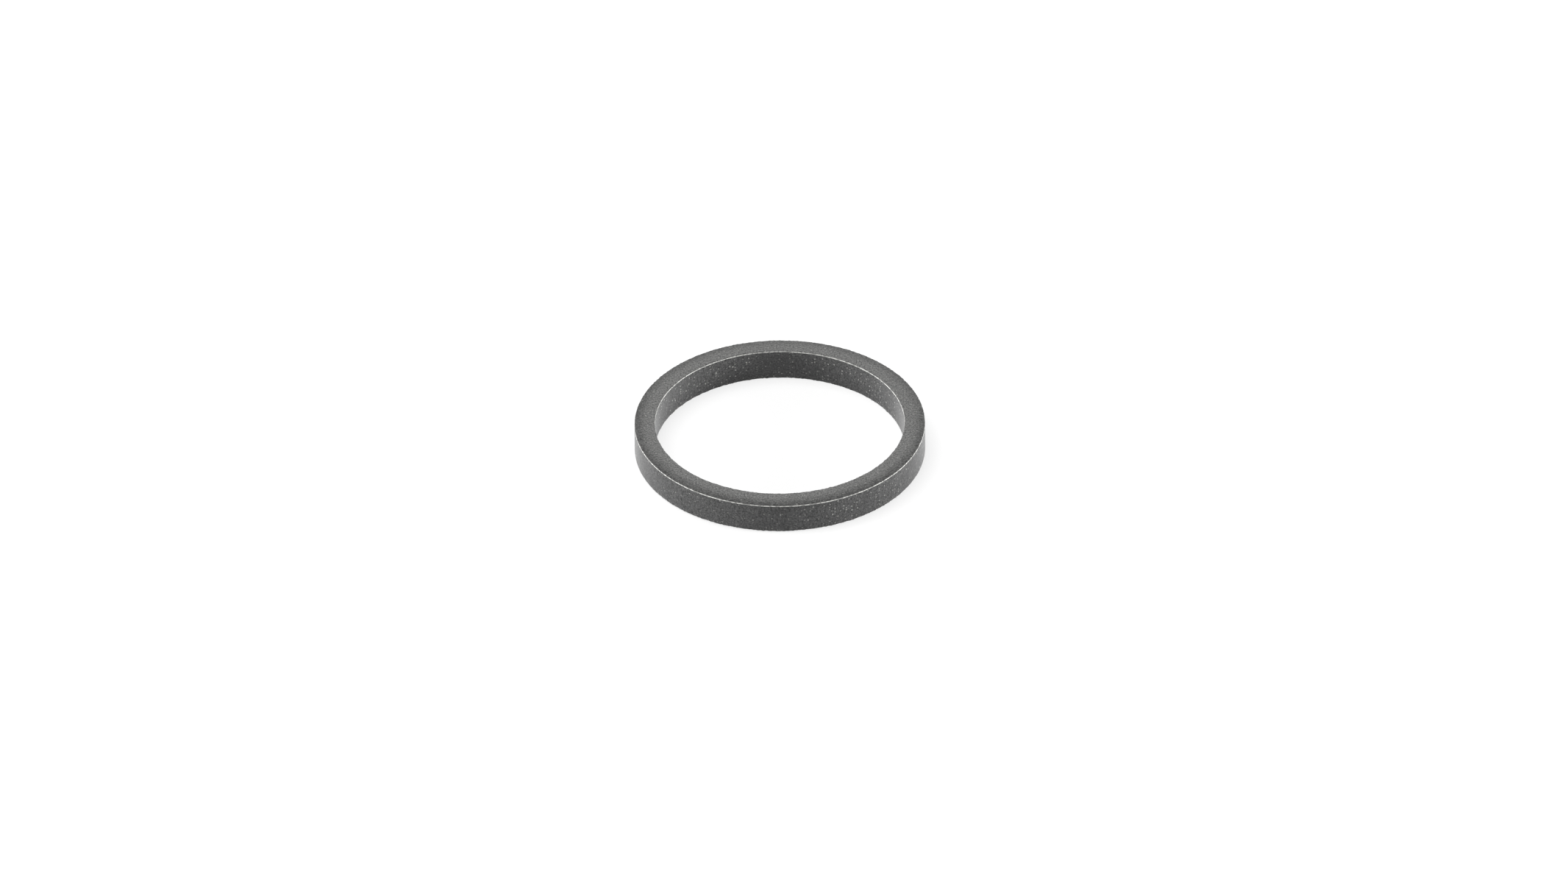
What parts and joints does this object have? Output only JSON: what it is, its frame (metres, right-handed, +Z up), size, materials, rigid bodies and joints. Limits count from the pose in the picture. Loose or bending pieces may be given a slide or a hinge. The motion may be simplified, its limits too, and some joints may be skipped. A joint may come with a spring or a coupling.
{
  "type": "sealing ring",
  "caption": "Flat moulded sealing ring of dark grey rubber, with a nearly rectangular section, flat lands beside the bore and slightly rounded edges.",
  "frame": {"origin": "centre of the lower face, on the ring's axis", "axes": "+Z up along the ring's axis, from the lower face to the upper"},
  "size_m": [0.035, 0.035, 0.004],
  "materials": {
    "rubber": "matte, fine grained, dark grey"
  },
  "bodies": {
    "root": {"sealing_ring": "rubber"}
  },
  "joints": []
}
